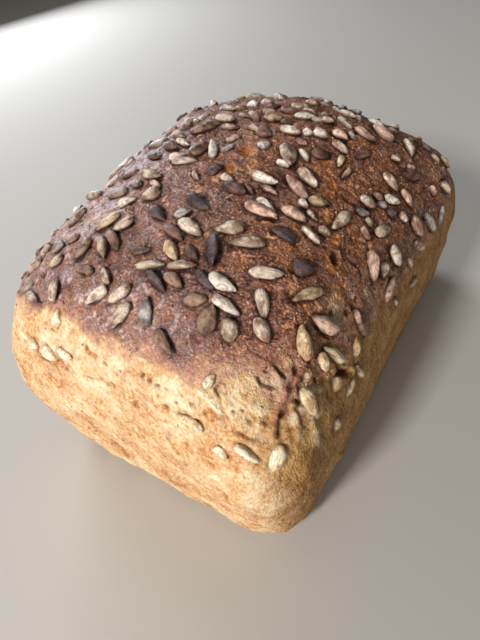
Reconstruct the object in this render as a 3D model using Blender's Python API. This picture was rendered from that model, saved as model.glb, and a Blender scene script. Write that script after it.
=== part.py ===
"""A tin-baked spelt loaf, as one solid: a rounded rectangular base, walls that the tin has
shaped, and a crust that has risen over them as an uneven dome.

Metres, +Z up. The origin is at the middle of the base. X runs across the loaf, Y along it.
"""

import bmesh
import bpy
import math

# ---- driving sizes -------------------------------------------------------------------
BASE_W = 0.130        # across, where the tin's walls meet its floor
BASE_L = 0.189        # along
WALL_H = 0.0430       # top of the part that the tin's wall has kept flat
DOME_H = 0.0708       # from there to the crown
LEAN_X = 0.0049       # each long wall leans out by this much at WALL_H
LEAN_Y = 0.0029       # each end wall
FOOT_R = 0.0124       # rounding between the walls and the base
CORNER_R = 0.0185     # upright corners
DOME_P = 2.48         # section of the dome: 2 is an ellipse, more is boxier
DOME_PL = 0.912       # under 1 keeps the ridge long
CROWN_X = -0.112      # the dome is higher on the -X side
CROWN_Y = 0.027       # and a little higher towards +Y
ROUNDING = 0.90       # how soon the dome's plan turns from a rounded rectangle to an oval
RIM_Z = 0.0745        # where the crust broke free of the tin's rim
RIM_LEDGE = 0.0011    # how far the crust bulges over that line

PER_CORNER = 9        # steps round each upright corner
PER_END = 9           # steps along half an end wall's straight
PER_SIDE = 12         # steps along half a long wall's straight
FOOT_STEPS = 4
WALL_STEPS = 5
DOME_STEPS = 17

# Broad swells of the crust: place of the middle, reach and height.
SWELLS = (
    ((-0.043, -0.045, 0.106), 0.026, -0.0030),
    ((-0.038, 0.020, 0.112), 0.024, 0.0016),
    ((-0.018, 0.046, 0.113), 0.018, -0.0028),
    ((0.003, 0.056, 0.109), 0.018, 0.0018),
    ((0.038, 0.072, 0.092), 0.024, -0.0023),
    ((-0.060, -0.088, 0.066), 0.022, -0.0008),
    ((-0.050, -0.094, 0.040), 0.018, 0.0012),
    ((0.030, -0.066, 0.088), 0.024, 0.0012),
    ((-0.012, -0.060, 0.098), 0.022, 0.0008),
    ((0.034, -0.008, 0.106), 0.026, -0.0010),
    ((0.044, 0.030, 0.100), 0.024, 0.0012),
    ((0.004, 0.006, 0.117), 0.022, 0.0008),
    ((0.064, -0.040, 0.060), 0.026, 0.0010),
    ((0.068, 0.050, 0.050), 0.030, 0.0010),
    ((0.000, -0.094, 0.040), 0.030, -0.0010),
    ((-0.066, -0.010, 0.050), 0.036, 0.0010),
    ((0.010, 0.093, 0.046), 0.034, 0.0010),
)


def rounded_rectangle(half_x, half_y, radius):
    """Points round a rounded rectangle, the same number and order for every size."""
    radius = min(radius, 0.97 * half_x, 0.97 * half_y)
    flat_x, flat_y = half_x - radius, half_y - radius
    points = []
    for quarter in range(4):
        sx = (1, -1, -1, 1)[quarter]
        sy = (1, 1, -1, -1)[quarter]
        start = quarter * math.pi / 2
        for k in range(PER_CORNER + 1):
            a = start + math.pi / 2 * k / PER_CORNER
            points.append((sx * flat_x + radius * math.cos(a), sy * flat_y + radius * math.sin(a)))
        steps = 2 * (PER_END if quarter % 2 == 0 else PER_SIDE)
        x0, y0 = points[-1]
        nx = (-1, -1, 1, 1)[quarter] * flat_x
        ny = (1, -1, -1, 1)[quarter] * flat_y
        a = start + math.pi / 2
        x1, y1 = nx + radius * math.cos(a), ny + radius * math.sin(a)
        for k in range(1, steps):
            points.append((x0 + (x1 - x0) * k / steps, y0 + (y1 - y0) * k / steps))
    return points


def foot_ring(k):
    """k from 0, on the base, to 1, where the wall begins."""
    a = k * math.pi / 2
    inset = FOOT_R * (1 - math.sin(a))
    z = FOOT_R * (1 - math.cos(a))
    ring = rounded_rectangle(BASE_W / 2 - inset, BASE_L / 2 - inset, CORNER_R - 0.6 * inset)
    return [(x, y, z) for x, y in ring]


def wall_ring(k):
    """k from 0, at the top of the foot, to 1, at WALL_H."""
    ring = rounded_rectangle(BASE_W / 2 + LEAN_X * k, BASE_L / 2 + LEAN_Y * k, CORNER_R)
    return [(x, y, FOOT_R + (WALL_H - FOOT_R) * k) for x, y in ring]


def dome_ring(s):
    """s from 1, at WALL_H, to 0, at the crown."""
    half_x, half_y = BASE_W / 2 + LEAN_X, BASE_L / 2 + LEAN_Y
    ring = rounded_rectangle(half_x * s, half_y * s**DOME_PL, CORNER_R * s + ROUNDING * half_x * s * (1 - s * s))
    rise = DOME_H * (1 - s**DOME_P) ** (1 / DOME_P)
    return [(x, y, WALL_H + rise * (1 + CROWN_X * x / half_x + CROWN_Y * y / half_y)) for x, y in ring]


def uneven(p):
    """Moves a point of the even loaf outwards or inwards, as dough does, and leaves the base flat."""
    x, y, z = p
    middle = (0.0, 0.0, 0.048)
    dx, dy, dz = x - middle[0], y * 0.66 - middle[1], z - middle[2]
    size = math.sqrt(dx * dx + dy * dy + dz * dz) or 1.0
    push = 0.0
    for (cx, cy, cz), reach, height in SWELLS:
        d2 = (x - cx) ** 2 + (y - cy) ** 2 + (z - cz) ** 2
        push += height * math.exp(-d2 / (reach * reach))
    push += 0.0006 * math.sin(61.0 * x + 1.3) * math.sin(53.0 * y + 0.4) * math.sin(70.0 * z + 0.9)
    wander = 0.0035 * math.sin(38.0 * x + 17.0 * y + 0.7) + 0.0025 * math.sin(71.0 * y - 29.0 * x)
    over = (z - RIM_Z - wander) / 0.0040
    push += RIM_LEDGE * (0.5 + 0.5 * math.tanh(over)) * math.exp(-max(0.0, z - RIM_Z) / 0.020)
    push -= 0.6 * RIM_LEDGE * math.exp(-over * over)
    lift = min(1.0, max(0.0, (z - 0.0004) / 0.012))
    push *= lift * lift * (3 - 2 * lift)
    return (x + dx / size * push, y + dy / size * push, z + (dz / size * push if z > 0.02 else 0.0))


def loaf_rings():
    rings = [foot_ring(k / FOOT_STEPS) for k in range(FOOT_STEPS)]
    rings += [wall_ring(k / WALL_STEPS) for k in range(WALL_STEPS)]
    for k in range(DOME_STEPS):
        rings.append(dome_ring(math.cos(math.pi / 2 * (k / DOME_STEPS) * 0.975)))
    return rings


def build_loaf():
    rings = [[uneven(p) for p in ring] for ring in loaf_rings()]
    crown = uneven((0.0, 0.0, WALL_H + DOME_H))
    flat = [p for ring in rings for p in ring]
    mid_x = (min(p[0] for p in flat) + max(p[0] for p in flat)) / 2
    mid_y = (min(p[1] for p in flat) + max(p[1] for p in flat)) / 2

    mesh = bmesh.new()
    made = [[mesh.verts.new((x - mid_x, y - mid_y, z)) for x, y, z in ring] for ring in rings]
    mesh.faces.new(list(reversed(made[0])))
    for low, high in zip(made, made[1:]):
        n = len(low)
        for i in range(n):
            j = (i + 1) % n
            mesh.faces.new((low[i], low[j], high[j], high[i]))
    top = mesh.verts.new((crown[0] - mid_x, crown[1] - mid_y, crown[2]))
    last = made[-1]
    for i in range(len(last)):
        mesh.faces.new((last[i], last[(i + 1) % len(last)], top))
    bmesh.ops.recalc_face_normals(mesh, faces=mesh.faces)

    data = bpy.data.meshes.new("loaf")
    mesh.to_mesh(data)
    mesh.free()
    data.shade_smooth()
    return data


def crust_material():
    material = bpy.data.materials.new("crust")
    material.use_nodes = True
    shader = material.node_tree.nodes["Principled BSDF"]
    shader.inputs["Base Color"].default_value = (0.31, 0.135, 0.062, 1.0)
    shader.inputs["Roughness"].default_value = 0.62
    shader.inputs["Metallic"].default_value = 0.0
    return material


for thing in list(bpy.data.objects):
    bpy.data.objects.remove(thing)

loaf = bpy.data.objects.new("loaf", build_loaf())
loaf.data.materials.append(crust_material())
bpy.context.scene.collection.objects.link(loaf)
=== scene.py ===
import math

import bpy
import numpy as np
from mathutils import Matrix, Vector
from mathutils.bvhtree import BVHTree


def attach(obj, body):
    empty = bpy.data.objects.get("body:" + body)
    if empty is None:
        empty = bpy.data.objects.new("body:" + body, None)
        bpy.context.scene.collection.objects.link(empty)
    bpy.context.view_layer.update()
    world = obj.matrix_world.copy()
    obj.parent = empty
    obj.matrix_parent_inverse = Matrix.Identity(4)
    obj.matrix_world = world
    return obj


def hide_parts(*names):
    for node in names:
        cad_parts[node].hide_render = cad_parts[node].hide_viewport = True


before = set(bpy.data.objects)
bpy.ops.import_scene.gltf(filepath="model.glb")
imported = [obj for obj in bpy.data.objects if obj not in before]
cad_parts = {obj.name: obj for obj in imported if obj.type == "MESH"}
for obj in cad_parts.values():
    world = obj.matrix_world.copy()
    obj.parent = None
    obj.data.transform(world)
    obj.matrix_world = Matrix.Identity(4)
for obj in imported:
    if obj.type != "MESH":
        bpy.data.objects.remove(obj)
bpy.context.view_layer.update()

# ======================================================================================
# 1. The loaf's even shape, as in the CAD: metres, origin at the middle of the base
# ======================================================================================
BASE_W, BASE_L = 0.130, 0.189
WALL_H, DOME_H = 0.0430, 0.0708
LEAN_X, LEAN_Y = 0.0049, 0.0029
FOOT_R, CORNER_R = 0.0124, 0.0185
DOME_P, DOME_PL = 2.48, 0.912
CROWN_X, CROWN_Y = -0.112, 0.027
ROUNDING = 0.90
RIM_Z, RIM_LEDGE = 0.0745, 0.0011
SWELLS = (
    ((-0.043, -0.045, 0.106), 0.026, -0.0030),
    ((-0.038, 0.020, 0.112), 0.024, 0.0016),
    ((-0.018, 0.046, 0.113), 0.018, -0.0028),
    ((0.003, 0.056, 0.109), 0.018, 0.0018),
    ((0.038, 0.072, 0.092), 0.024, -0.0023),
    ((-0.060, -0.088, 0.066), 0.022, -0.0008),
    ((-0.050, -0.094, 0.040), 0.018, 0.0012),
    ((0.030, -0.066, 0.088), 0.024, 0.0012),
    ((-0.012, -0.060, 0.098), 0.022, 0.0008),
    ((0.034, -0.008, 0.106), 0.026, -0.0010),
    ((0.044, 0.030, 0.100), 0.024, 0.0012),
    ((0.004, 0.006, 0.117), 0.022, 0.0008),
    ((0.064, -0.040, 0.060), 0.026, 0.0010),
    ((0.068, 0.050, 0.050), 0.030, 0.0010),
    ((0.000, -0.094, 0.040), 0.030, -0.0010),
    ((-0.066, -0.010, 0.050), 0.036, 0.0010),
    ((0.010, 0.093, 0.046), 0.034, 0.0010),
)
K = 110               # rings of the top; 8 K columns go round the loaf
SEAM_S = 0.86         # the top piece meets the wall piece here, above the torn line
MM = 0.001


def smooth(a, b, x):
    t = np.clip((x - a) / (b - a), 0.0, 1.0)
    return t * t * (3 - 2 * t)


def side_points(half_a, half_b, radius, g):
    """A side of a rounded rectangle from corner to corner: g 0..1 by length, as (along, out)."""
    radius = min(radius, 0.97 * half_a, 0.97 * half_b)
    arc = radius * math.pi / 4
    flat = 2 * (half_a - radius)
    run = g * (2 * arc + flat)
    p1 = math.radians(135) - np.clip(run, 0, arc) / radius
    p2 = math.radians(90) - np.clip(run - arc - flat, 0, arc) / radius
    along = np.where(run < arc, -(half_a - radius) + radius * np.cos(p1),
                     np.where(run > arc + flat, (half_a - radius) + radius * np.cos(p2),
                              -(half_a - radius) + (run - arc)))
    out = np.where(run < arc, (half_b - radius) + radius * np.sin(p1),
                   np.where(run > arc + flat, (half_b - radius) + radius * np.sin(p2), half_b))
    return along, out


def ring_xy(half_x, half_y, radius, n):
    """The 4 n points round a ring, in four sides of n: far, left, near, right. The near end is finer."""
    g = np.arange(n) / n
    near = 0.26
    sides = []
    a, o = side_points(half_x, half_y, radius, g)
    sides.append((-a, o))
    a, o = side_points(half_y, half_x, radius, (1 + near) * g - near * g * g)
    sides.append((-o, -a))
    a, o = side_points(half_x, half_y, radius, g)
    sides.append((a, -o))
    a, o = side_points(half_y, half_x, radius, (1 - near) * g + near * g * g)
    sides.append((o, a))
    return np.concatenate([s[0] for s in sides]), np.concatenate([s[1] for s in sides])


RIM_X, RIM_Y = BASE_W / 2 + LEAN_X, BASE_L / 2 + LEAN_Y


def dome(s, n):
    x, y = ring_xy(RIM_X * s, RIM_Y * s ** DOME_PL, CORNER_R * s + ROUNDING * RIM_X * s * (1 - s * s), n)
    rise = DOME_H * max(0.0, 1 - s ** DOME_P) ** (1 / DOME_P)
    return np.stack([x, y, WALL_H + rise * (1 + CROWN_X * x / RIM_X + CROWN_Y * y / RIM_Y)], 1)


def wall(k, n):
    x, y = ring_xy(BASE_W / 2 + LEAN_X * k, BASE_L / 2 + LEAN_Y * k, CORNER_R, n)
    return np.stack([x, y, np.full(4 * n, FOOT_R + (WALL_H - FOOT_R) * k)], 1)


def foot(k, n):
    a = k * math.pi / 2
    inset = FOOT_R * (1 - math.sin(a))
    x, y = ring_xy(BASE_W / 2 - inset, BASE_L / 2 - inset, CORNER_R - 0.6 * inset, n)
    return np.stack([x, y, np.full(4 * n, FOOT_R * (1 - math.cos(a)))], 1)


def rim_wander(x, y):
    return 0.0035 * np.sin(38.0 * x + 17.0 * y + 0.7) + 0.0025 * np.sin(71.0 * y - 29.0 * x)


def uneven(p):
    x, y, z = p[:, 0], p[:, 1], p[:, 2]
    d = np.stack([x, y * 0.66, z - 0.048], 1)
    d /= np.maximum(np.linalg.norm(d, axis=1), 1e-9)[:, None]
    push = np.zeros(len(p))
    for (cx, cy, cz), reach, height in SWELLS:
        push += height * np.exp(-((x - cx) ** 2 + (y - cy) ** 2 + (z - cz) ** 2) / reach ** 2)
    push += 0.0006 * np.sin(61.0 * x + 1.3) * np.sin(53.0 * y + 0.4) * np.sin(70.0 * z + 0.9)
    over = (z - RIM_Z - rim_wander(x, y)) / 0.0040
    push += RIM_LEDGE * (0.5 + 0.5 * np.tanh(over)) * np.exp(-np.maximum(0.0, z - RIM_Z) / 0.020)
    push -= 0.6 * RIM_LEDGE * np.exp(-over * over)
    lift = np.clip((z - 0.0004) / 0.012, 0, 1)
    push *= lift * lift * (3 - 2 * lift)
    out = p + d * push[:, None]
    out[:, 2] = np.where(z > 0.02, out[:, 2], z)
    return out


# even steps along the dome, from the crown down to the seam
table_s = np.linspace(0.0, SEAM_S, 400)
table_h = (1 - table_s ** DOME_P) ** (1 / DOME_P) * DOME_H
table_l = np.concatenate([[0], np.cumsum(np.hypot(np.diff(table_s * (RIM_X + RIM_Y) / 2), np.diff(table_h)))])

grid = np.zeros((2 * K + 1, 2 * K + 1), int)
rings = [np.array([[0.0, 0.0, WALL_H + DOME_H]])]
count = 1
for m in range(1, K + 1):
    rings.append(dome(float(np.interp(table_l[-1] * m / K, table_l, table_s)), 2 * m))
    i = np.arange(2 * m)
    grid[K + m - i, K + m] = count + i                       # far side
    grid[K - m, K + m - i] = count + 2 * m + i               # left
    grid[K - m + i, K - m] = count + 4 * m + i               # near
    grid[K + m, K - m + i] = count + 6 * m + i               # right
    count += 8 * m
quads = np.stack([grid[:-1, :-1], grid[1:, :-1], grid[1:, 1:], grid[:-1, 1:]], -1).reshape(-1, 4)
SEAM = np.arange(count - 8 * K, count)

N = 2 * K
seam_h = (1 - SEAM_S ** DOME_P) ** (1 / DOME_P)
heights = np.concatenate([np.linspace(seam_h, 0.33, 38)[1:], np.linspace(0.33, 0.0, 25)[1:]])
lower = [dome((1 - h ** DOME_P) ** (1 / DOME_P), N) for h in heights]
lower += [wall(t, N) for t in np.linspace(1, 0, 31)[1:]]
lower += [foot(t, N) for t in np.linspace(1, 0, 16)[1:]]
ring_ids = [SEAM]
for r in lower:
    ring_ids.append(count + np.arange(4 * N))
    rings.append(r)
    count += 4 * N
wall_quads = np.concatenate([np.stack([a, b, np.roll(b, -1), np.roll(a, -1)], 1)
                             for a, b in zip(ring_ids, ring_ids[1:])])


def stitch(outer, inner):
    """Joins a ring to an inner one with half its columns, or as many."""
    i1 = np.roll(inner, -1)
    if len(inner) == len(outer):
        o1 = np.roll(outer, -1)
        return [np.stack([outer, inner, i1], 1), np.stack([outer, i1, o1], 1)]
    o, o1, o2 = outer[0::2], outer[1::2], np.roll(outer[0::2], -1)
    return [np.stack([o, inner, o1], 1), np.stack([o1, inner, i1], 1), np.stack([o1, i1, o2], 1)]


base_tris = []
outer, n = ring_ids[-1], N
for inset, halve in ((0.0016, 1), (0.004, 1), (0.007, 0), (0.011, 0), (0.015, 0), (0.019, 0), (0.024, 0),
                     (0.029, 0), (0.034, 0), (0.039, 0), (0.044, 0)):
    n = n // 2 if halve else n
    hx, hy = BASE_W / 2 - FOOT_R - inset, BASE_L / 2 - FOOT_R - inset
    bx, by = ring_xy(hx, hy, CORNER_R * 0.6, n)
    inner = count + np.arange(4 * n)
    rings.append(np.stack([bx, by, np.zeros(4 * n)], 1))
    count += 4 * n
    base_tris += stitch(outer, inner)
    outer = inner
rings.append(np.array([[0.0, 0.0, 0.0]]))
base_tris.append(np.stack([outer, np.full(len(outer), count), np.roll(outer, -1)], 1))
count += 1

EVEN = np.concatenate(rings)
P = uneven(EVEN)
P[:, :2] -= (P[:, :2].min(0) + P[:, :2].max(0)) / 2
TOP_TRIS = np.concatenate([quads[:, [0, 1, 2]], quads[:, [0, 2, 3]]])
SIDE_TRIS = np.concatenate([wall_quads[:, [0, 1, 2]], wall_quads[:, [0, 2, 3]]] + base_tris)
TRIS = np.concatenate([TOP_TRIS, SIDE_TRIS])


def normals_of(points, tris=TRIS):
    a, b, c = points[tris[:, 0]], points[tris[:, 1]], points[tris[:, 2]]
    n = np.cross(b - a, c - a)
    out = np.zeros_like(points)
    for k in range(3):
        for j in range(3):
            out[:, j] += np.bincount(tris[:, k], n[:, j], len(points))
    return out / np.maximum(np.linalg.norm(out, axis=1), 1e-12)[:, None]


NRM = normals_of(P)

# ======================================================================================
# 2. Noise
# ======================================================================================
_rs = np.random.RandomState(5)
_perm = np.concatenate([_rs.permutation(256)] * 3)
_grad = _rs.normal(size=(256, 3))
_grad /= np.linalg.norm(_grad, axis=1)[:, None]


def noise(p, size, seed=0):
    """Gradient noise, about -1..1, with cells of the given size in mm (a number or three)."""
    q = p / np.asarray(size) / MM + np.array([seed * 17.13, seed * 5.71, seed * 9.37])
    c = np.floor(q).astype(int)
    f = q - c
    w = f * f * f * (f * (f * 6 - 15) + 10)
    total = 0
    for dx in (0, 1):
        for dy in (0, 1):
            for dz in (0, 1):
                h = _perm[_perm[_perm[(c[:, 0] + dx) & 255] + ((c[:, 1] + dy) & 255)] + ((c[:, 2] + dz) & 255)]
                g = _grad[h]
                dot = g[:, 0] * (f[:, 0] - dx) + g[:, 1] * (f[:, 1] - dy) + g[:, 2] * (f[:, 2] - dz)
                wx = w[:, 0] if dx else 1 - w[:, 0]
                wy = w[:, 1] if dy else 1 - w[:, 1]
                wz = w[:, 2] if dz else 1 - w[:, 2]
                total = total + dot * wx * wy * wz
    return total * 1.6


# ======================================================================================
# 3. Camera, at the photograph's viewing angle
# ======================================================================================
CAM = np.array((0.863, -1.111, 1.467)) * BASE_W
PITCH, ROLL, YAW = (math.radians(a) for a in (42.79, 13.57, 41.61))
FOCAL = 480.0          # in pixels of a 480 x 640 frame


def camera_columns():
    up = -np.array((math.sin(ROLL) * math.cos(PITCH), math.cos(ROLL) * math.cos(PITCH), math.sin(PITCH)))
    f = np.array((0.0, 0.0, 1.0)) - up * up[2]
    f /= np.linalg.norm(f)
    y = f * math.cos(YAW) + np.cross(f, up) * math.sin(YAW)
    return np.column_stack([np.cross(y, up), y, up])


ROWS = camera_columns()        # its rows are the camera's right, down and forward directions


def ray(u, v):
    d = ROWS.T @ np.array((u - 240.0, v - 320.0, FOCAL))
    return d / np.linalg.norm(d)


def project(p):
    q = (p - CAM) @ ROWS.T
    return np.stack([240 + FOCAL * q[:, 0] / q[:, 2], 320 + FOCAL * q[:, 1] / q[:, 2]], 1), q[:, 2]


camera_data = bpy.data.cameras.new("camera")
camera_data.sensor_width = 36.0
camera_data.lens = FOCAL / 640 * 36.0
camera_data.clip_start, camera_data.clip_end = 0.01, 50.0
camera = bpy.data.objects.new("camera", camera_data)
bpy.context.scene.collection.objects.link(camera)
camera.matrix_world = Matrix([
    [ROWS[0][0], -ROWS[1][0], -ROWS[2][0], CAM[0]],
    [ROWS[0][1], -ROWS[1][1], -ROWS[2][1], CAM[1]],
    [ROWS[0][2], -ROWS[1][2], -ROWS[2][2], CAM[2]],
    [0, 0, 0, 1]])
bpy.context.scene.camera = camera

UV, DEPTH = project(P)
SEEN = np.einsum("ij,ij->i", NRM, CAM - P) > 0

# ======================================================================================
# 4. The crust's relief, in mm along the normals, and the masks its finish is mixed from
# ======================================================================================
x, y, z = P[:, 0], P[:, 1], P[:, 2]
above_rim = z - RIM_Z - rim_wander(EVEN[:, 0], EVEN[:, 1])
on_right = smooth(0.35, 0.85, NRM[:, 0])
on_near = smooth(0.35, 0.85, -NRM[:, 1])
on_left = smooth(0.35, 0.85, -NRM[:, 0])
on_far = smooth(0.35, 0.85, NRM[:, 1])

# how dark it is baked: 0 on the walls, 1 on the top. Two lines round the loaf, where the pale wall
# ends and where the dark crust begins; in between it goes through orange and red-brown
smooth_tree = BVHTree.FromPolygons(P.tolist(), TRIS.tolist())


def around(px, py):
    return np.arctan2(py / RIM_Y, px / RIM_X)


def height_line(pixels, unseen):
    places = []
    for u, v in pixels:
        hit, _, _, _ = smooth_tree.ray_cast(Vector(CAM), Vector(ray(u, v)))
        if hit is not None:
            places.append((around(hit[0], hit[1]), hit[2]))
    places.sort()
    a = np.array([k[0] for k in places])
    h = np.array([k[1] for k in places])
    far = (a[0] + a[-1]) / 2 + math.pi
    a = np.concatenate([a, [a[-1] + 0.25, far, a[0] + 2 * math.pi - 0.25]])
    h = np.concatenate([h, [unseen] * 3])
    at = (around(x, y) - a[0]) % (2 * math.pi)
    order = np.argsort(a)
    line = np.interp(at, (a - a[0])[order], h[order], period=2 * math.pi)
    return line


pale_ends = height_line(((22, 302), (45, 316), (75, 334), (100, 351), (130, 371), (165, 381), (200, 391), (230, 402),
                         (250, 404), (266, 410), (276, 430), (290, 438), (308, 428), (328, 410), (345, 388), (368, 345),
                         (400, 297), (416, 268), (433, 241), (446, 220)), 0.0735)
dark_begins = height_line(((24, 284), (47, 298), (77, 313), (102, 329), (131, 342), (166, 348), (212, 351), (246, 351),
                           (268, 345), (285, 340), (300, 339), (318, 340), (334, 330), (352, 316), (372, 298), (391, 279),
                           (407, 252), (424, 226), (438, 203), (446, 188)), 0.0825)
ragged_edge = 0.0024 * noise(P, 22, 1) + 0.0026 * noise(P, 8, 2) + 0.0018 * noise(P, 3.6, 3)
edge = (pale_ends + dark_begins) / 2 + ragged_edge
half_band = np.maximum(0.0030, (dark_begins - pale_ends) / 2)
toast = smooth(-1.15, 1.15, (z - edge) / half_band)
top = smooth(-0.4, 1.4, (z - edge) / half_band)
walls = (1 - top) * smooth(0.001, 0.008, z)

wrinkle = 0.5 - 1.6 * np.abs(noise(P + 0.0012 * noise(P, 5, 40)[:, None], (7.5, 7.5, 6), 41))
relief = top * (0.55 * noise(P, 17, 4) + 0.50 * noise(P, 7.5, 5) + 0.38 * noise(P, 3.6, 6) + 0.24 * noise(P, 1.9, 7))
relief += top * wrinkle * (0.20 + 0.35 * smooth(-0.1, 0.6, noise(P, 21, 42)))
cracks = smooth(0.90, 1.0, 1 - np.abs(noise(P, 12, 8))) * smooth(0.05, 0.5, noise(P, 19, 9))
relief -= top * 0.55 * cracks
streak = noise(np.stack([x * (0.25 + 0.75 * on_right), y * (0.25 + 0.75 * on_near), z], 1), (1.8, 1.8, 1.5), 10)
relief += walls * (0.52 * noise(P, 14, 11) + 0.32 * noise(P, 5.5, 12) + 0.28 * noise(P, 2.3, 13) + 0.03 * streak)
relief += (1 - top) * np.exp(-((z - 0.005) / 0.006) ** 2) * (1.25 * noise(P, (15, 15, 40), 18) + 0.6 * noise(P, (5.5, 5.5, 16), 19))
relief += (1 - smooth(0.001, 0.008, z)) * np.maximum(0, -0.10 * noise(P, 7, 14)) * (NRM[:, 2] < -0.9)

# painted shade: darker colour in holes, cracks, creases and pits
deep = 0.55 * top * cracks      # shade in holes and cracks
# the next mask holds paler, drier dough where it tore, and also painted light at the near corner's foot
raw = np.zeros(len(P))          # paler, drier dough where it tore
glaze = np.zeros(len(P))        # amber, thin skinned spots
red = np.zeros(len(P))          # red-purple ridges

# the torn line where the crust left the tin's rim
tear = np.exp(-(above_rim / 0.0020) ** 2)
ragged = noise(P, (5.0, 5.0, 2.4), 15) + 0.5 * noise(P, 2.3, 16)
relief += tear * (0.45 * ragged - 0.25)
# painted shade in the torn line's gaps
deep += tear * smooth(0.25, 0.9, -ragged) * 0.6
raw += np.exp(-((above_rim - 0.0010) / 0.0050) ** 2) * smooth(-0.1, 0.6, noise(P, (9, 9, 4), 17)) * (1 - 0.6 * on_right)

pick = np.random.RandomState(11)


def near_to(point, reach):
    d = P - point
    ids = np.flatnonzero((np.abs(d) < reach).all(1))
    return ids, np.linalg.norm(d[ids], axis=1)


# small pores everywhere, most of them along the torn line
def pores(candidates, number, low, high):
    for c in pick.choice(candidates, number, replace=False):
        r = (low + (high - low) * pick.rand() ** 2.2) * MM
        ids, d = near_to(P[c], 3 * r)
        stretch = 1 + 0.5 * noise(P[ids], 1.6, 21)
        w = np.exp(-(d / r * stretch) ** 4)
        if SEEN[c] and np.hypot(UV[c, 0] - 210, UV[c, 1] - 415) < 13:
            w = w * 0.0                 # the kernel there lies on unbroken crust
        shade = 0.25 + 0.6 * pick.rand()
        relief[ids] -= w * r / MM * (0.7 + 0.5 * pick.rand())
        relief[ids] += 0.16 * r / MM * np.exp(-((d / r - 1.7) / 0.5) ** 2)
        # painted shade in the pore
        deep[ids] = np.maximum(deep[ids], w * shade)


pores(np.flatnonzero((np.abs(above_rim - 0.001 * noise(P, 9, 43)) < 0.0034)), 120, 0.40, 1.6)
pores(np.flatnonzero((z > 0.010) & (above_rim < 0.0)), 80, 0.40, 0.95)
pores(np.flatnonzero(top > 0.9), 110, 0.5, 1.3)


# the features that the photograph shows, placed in its 480 x 640 frame
def window(u, v, r):
    ids = np.flatnonzero(SEEN & (np.abs(UV[:, 0] - u) < r) & (np.abs(UV[:, 1] - v) < r))
    return ids, UV[ids]


def pit(u, v, w, h, depth, amber=0.0, lip=0.15):
    ids, q = window(u, v, max(w, h) * 2)
    d = np.hypot((q[:, 0] - u) / (w / 2), (q[:, 1] - v) / (h / 2)) * (1 + 0.18 * noise(P[ids], 1.8, 22))
    inside = np.exp(-d ** 4)
    relief[ids] += -depth * inside + lip * np.exp(-((d - 1.5) / 0.4) ** 2)
    # an amber skin, or else painted shade in the pit
    if amber:
        glaze[ids] = np.maximum(glaze[ids], inside * amber)
    else:
        deep[ids] = np.maximum(deep[ids], inside)


def path_distance(q, path):
    """Distance in pixels to a polyline, signed: above zero on its right side as drawn."""
    best, side = np.full(len(q), 1e9), np.ones(len(q))
    for a, b in zip(path, path[1:]):
        a, b = np.array(a, float), np.array(b, float)
        t = np.clip(((q - a) @ (b - a)) / ((b - a) @ (b - a)), 0, 1)
        e = q - a - t[:, None] * (b - a)
        d = np.hypot(e[:, 0], e[:, 1])
        s = np.sign((b - a)[0] * (q - a)[:, 1] - (b - a)[1] * (q - a)[:, 0])
        side = np.where(d < best, s, side)
        best = np.minimum(best, d)
    return best, side


def line(path, width, height, dark=0.0, redness=0.0, pale=0.0, amber=0.0, lip=0.0):
    """A ridge (height above zero) or a crease (below) along a polyline; the lip is to its right."""
    path = [np.array(p, float) for p in path]
    mid = (np.min(path, 0) + np.max(path, 0)) / 2
    reach = np.max(np.ptp(path, 0)) / 2 + width * 4
    ids, q = window(mid[0], mid[1], reach)
    q = q + 0.9 * np.stack([noise(P[ids], 2.6, 23), noise(P[ids], 2.6, 24)], 1)
    d, side = path_distance(q, path)
    w = np.exp(-(d / (width / 2)) ** 2)
    relief[ids] += height * w
    if lip:
        relief[ids] += lip * np.exp(-((d * side - width * 0.9) / (width * 0.55)) ** 2)
    # dark: painted shade along the crease
    deep[ids] = np.maximum(deep[ids], dark * w)
    red[ids] = np.maximum(red[ids], redness * w)
    raw[ids] = np.maximum(raw[ids], pale * w)
    glaze[ids] = np.maximum(glaze[ids], amber * w)


def blister(u, v, w, h, rise, hollow=0.0, amber=0.0, dark=0.0):
    """A burst bubble: a raised rim round a hollow."""
    ids, q = window(u, v, max(w, h) * 1.5)
    d = np.hypot((q[:, 0] - u) / (w / 2), (q[:, 1] - v) / (h / 2)) * (1 + 0.14 * noise(P[ids], 2.5, 25))
    relief[ids] += rise * np.exp(-((d - 0.95) / 0.22) ** 2) - hollow * np.exp(-(d / 0.75) ** 4)
    glaze[ids] = np.maximum(glaze[ids], amber * np.exp(-(d / 0.8) ** 4))
    # dark: painted shade in the hollow
    deep[ids] = np.maximum(deep[ids], dark * np.exp(-(d / 0.75) ** 4))


def tint_patch(mask, u, v, w, h, amount, size=3.0):
    ids, q = window(u, v, max(w, h) * 1.6)
    d = np.hypot((q[:, 0] - u) / (w / 2), (q[:, 1] - v) / (h / 2))
    mask[ids] = np.maximum(mask[ids], amount * np.exp(-d ** 4) * smooth(-0.5, 0.35, noise(P[ids], size, 26)))


for u, v, w, h, depth in (
        (142, 375, 7, 5, 1.0), (149, 381, 5, 8, 1.3), (157, 386, 8, 4, 1.1), (167, 389, 4, 3, 0.7), (176, 403, 5, 4, 0.8),
        (190, 404, 4, 3, 0.7), (205, 412, 4, 3, 0.8), (233, 412, 5, 5, 0.9), (243, 411, 4, 4, 0.8), (108, 385, 4, 3, 0.6),
        (104, 363, 4, 4, 0.7), (106, 365, 3, 3, 0.5), (53, 330, 4, 3, 0.5), (73, 315, 4, 3, 0.5), (266, 372, 4, 4, 0.8),
        (120, 372, 4, 3, 0.5), (182, 396, 5, 3, 0.6), (64, 351, 3, 3, 0.4)):
    pit(u, v, w * 0.8, h * 0.8, depth)
pit(247, 151, 15, 12, 0.9, amber=1.0, lip=0.3)
pit(230, 168, 13, 8, 0.8, amber=0.9, lip=0.3)
pit(343, 374, 13, 8, 1.4, lip=0.2)
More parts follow.
